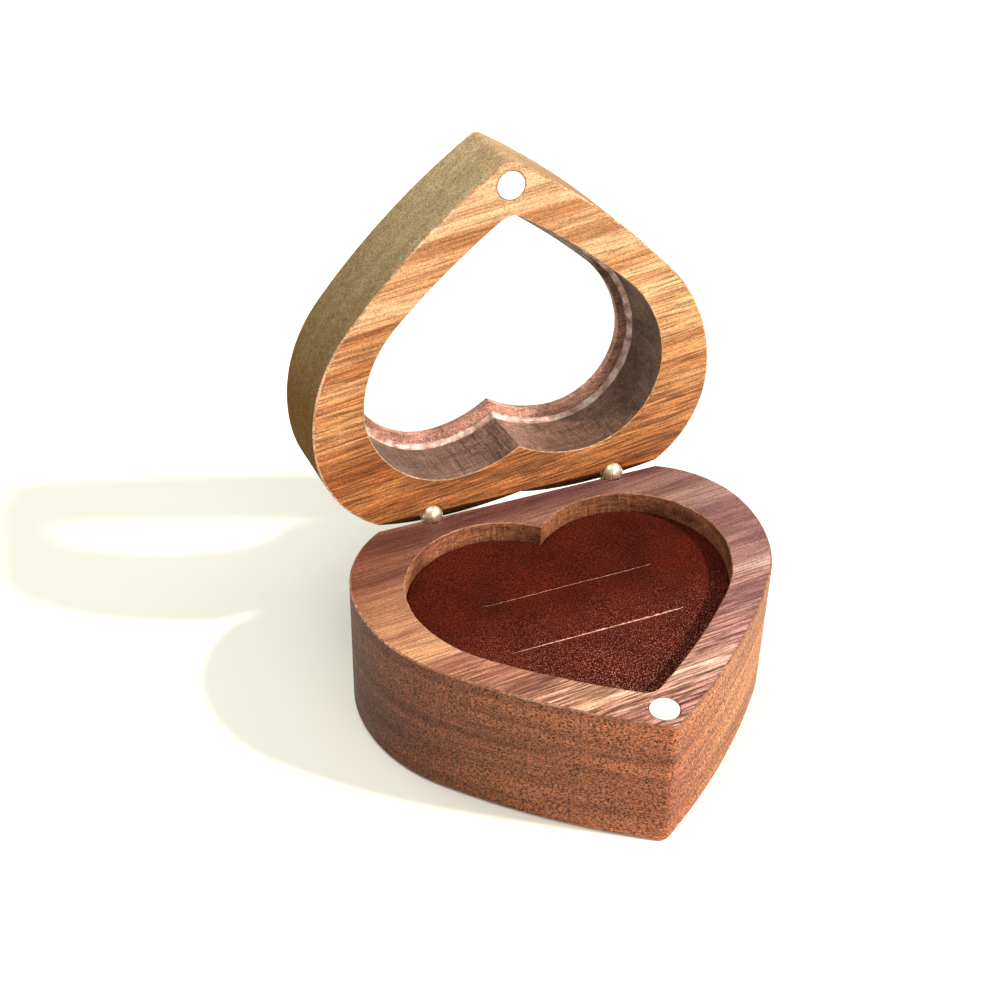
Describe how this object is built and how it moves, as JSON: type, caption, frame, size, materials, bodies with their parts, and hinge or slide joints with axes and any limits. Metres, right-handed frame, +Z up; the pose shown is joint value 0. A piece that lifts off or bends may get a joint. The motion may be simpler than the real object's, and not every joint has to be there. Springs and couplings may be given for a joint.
{
  "type": "ring box",
  "caption": "Heart-shaped wooden ring box with a hinged lid, a clear window in the lid and a slit velvet pad that holds rings.",
  "frame": {"origin": "middle of the base's underside, half way between the heart's tip and its lobes", "axes": "+Z up, the heart's tip and the magnet catch point to -Y, the hinges are at +Y, +X is across the heart; the lid rests open"},
  "size_m": [0.0742, 0.0866, 0.0891],
  "materials": {
    "base_wood": "satin oiled walnut",
    "lid_wood": "satin oiled walnut, lighter board",
    "window": "clear polished acrylic",
    "brass": "polished",
    "magnet": "nickel plated",
    "foam": "matt foam",
    "velvet": "flocked velvet"
  },
  "bodies": {
    "base": {"base_body": "base_wood", "base_magnet": "magnet", "ring_foam": "foam", "velvet_facing": "velvet", "left_hinge_base_barrel": "brass", "left_hinge_pin": "brass", "right_hinge_base_barrel": "brass", "right_hinge_pin": "brass"},
    "lid": {"lid_frame": "lid_wood", "window_pane": "window", "lid_magnet": "magnet", "left_hinge_lid_barrel": "brass", "right_hinge_lid_barrel": "brass"}
  },
  "joints": [
    {"name": "lid_hinge", "type": "hinge", "parent": "base", "child": "lid", "pos_m": [0, 0.0299, 0.0269], "axis": [1, 0, 0], "range_deg": [0, 97.3]}
  ]
}
